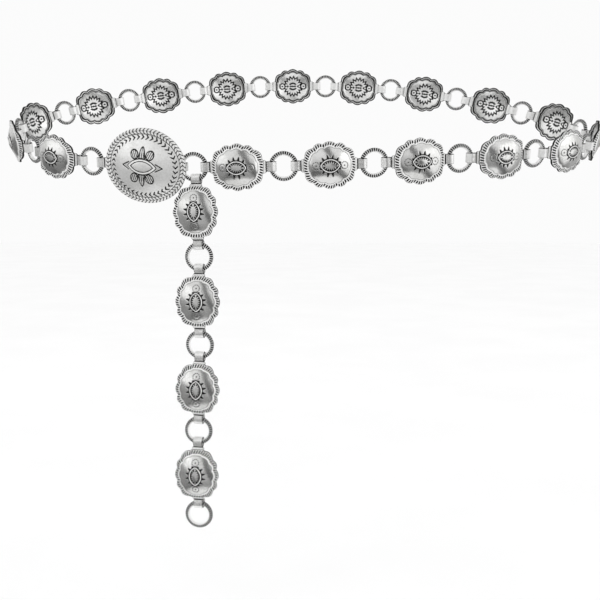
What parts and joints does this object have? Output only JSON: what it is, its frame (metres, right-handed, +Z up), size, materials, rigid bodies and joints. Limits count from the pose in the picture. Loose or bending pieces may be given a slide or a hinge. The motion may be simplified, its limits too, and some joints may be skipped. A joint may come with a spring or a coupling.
{
  "type": "concho belt",
  "caption": "Metal chain belt of domed, scalloped oval conchos joined by round rope-edged rings, hooked behind a large oval buckle, with a hanging tail.",
  "frame": {"origin": "middle of the waist loop, where the wearer's waist goes through it", "axes": "+Z up, -Y the front of the wearer where the buckle and the tail hang, +X to the right of someone who looks at the front"},
  "size_m": [0.3974, 0.2055, 0.3045],
  "materials": {
    "concho_silver": "polished antique silver plating on cast zinc alloy, dark patina in the stamped recesses",
    "ring_silver": "antique silver plating, ribbed across the wire with dark grooves",
    "buckle_silver": "bright antique silver plating with a roped edge and dark stamped lines"
  },
  "bodies": {
    "root": {"buckle": "buckle_silver", "concho_01": "concho_silver", "concho_02": "concho_silver", "concho_03": "concho_silver", "concho_04": "concho_silver", "concho_05": "concho_silver", "concho_06": "concho_silver", "concho_07": "concho_silver", "concho_08": "concho_silver", "concho_09": "concho_silver", "concho_10": "concho_silver", "concho_11": "concho_silver", "concho_12": "concho_silver", "concho_13": "concho_silver", "concho_14": "concho_silver", "concho_15": "concho_silver", "concho_16": "concho_silver", "concho_17": "concho_silver", "ring_01": "ring_silver", "ring_02": "ring_silver", "ring_03": "ring_silver", "ring_04": "ring_silver", "ring_05": "ring_silver", "ring_06": "ring_silver", "ring_07": "ring_silver", "ring_08": "ring_silver", "ring_09": "ring_silver", "ring_10": "ring_silver", "ring_11": "ring_silver", "ring_12": "ring_silver", "ring_13": "ring_silver", "ring_14": "ring_silver", "ring_15": "ring_silver", "ring_16": "ring_silver", "ring_17": "ring_silver", "ring_18": "ring_silver", "tail_concho_1": "concho_silver", "tail_concho_2": "concho_silver", "tail_concho_3": "concho_silver", "tail_concho_4": "concho_silver", "tail_ring_1": "ring_silver", "tail_ring_2": "ring_silver", "tail_ring_3": "ring_silver", "tail_ring_4": "ring_silver"}
  },
  "joints": []
}
